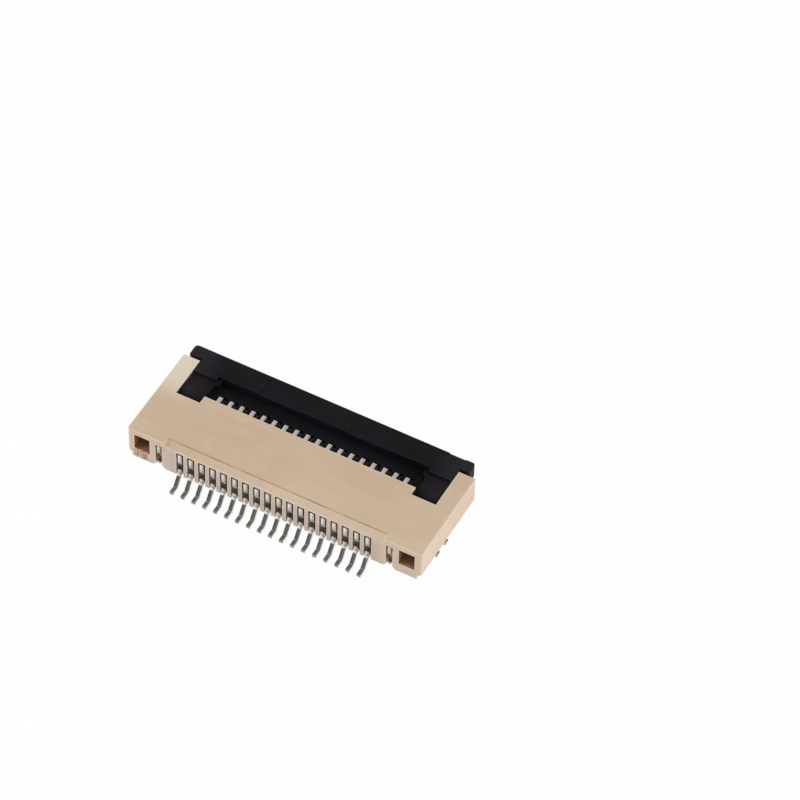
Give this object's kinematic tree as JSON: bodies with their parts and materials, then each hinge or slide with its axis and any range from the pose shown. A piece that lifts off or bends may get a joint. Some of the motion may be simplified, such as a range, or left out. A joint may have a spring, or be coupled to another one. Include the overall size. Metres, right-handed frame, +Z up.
{
  "type": "fpc connector",
  "caption": "Low surface-mount connector for a flat flexible cable, with a moulded housing, a row of hooked contacts and a flip lock at its front.",
  "frame": {"origin": "on the board plane, under the middle of the part's outline", "axes": "+X along the row of contacts, +Y from the soldered tails to the cable mouth, +Z up from the board"},
  "size_m": [0.0132, 0.006, 0.002],
  "materials": {
    "housing": "smooth moulded liquid-crystal polymer, natural beige",
    "lock": "moulded, black, satin",
    "contact": "stamped phosphor bronze with bright tin plating",
    "nail": "stamped brass sheet with tin plating"
  },
  "bodies": {
    "base": {"housing": "housing", "contact_01": "contact", "contact_02": "contact", "contact_03": "contact", "contact_04": "contact", "contact_05": "contact", "contact_06": "contact", "contact_07": "contact", "contact_08": "contact", "contact_09": "contact", "contact_10": "contact", "contact_11": "contact", "contact_12": "contact", "contact_13": "contact", "contact_14": "contact", "contact_15": "contact", "contact_16": "contact", "contact_17": "contact", "contact_18": "contact", "fitting_nail_left": "nail", "fitting_nail_right": "nail"},
    "lock": {"actuator": "lock"}
  },
  "joints": [
    {"name": "lock_hinge", "type": "hinge", "parent": "base", "child": "lock", "pos_m": [0, 0.00081, 0.00144], "axis": [1, 0, 0], "range_deg": [0, 90]}
  ]
}
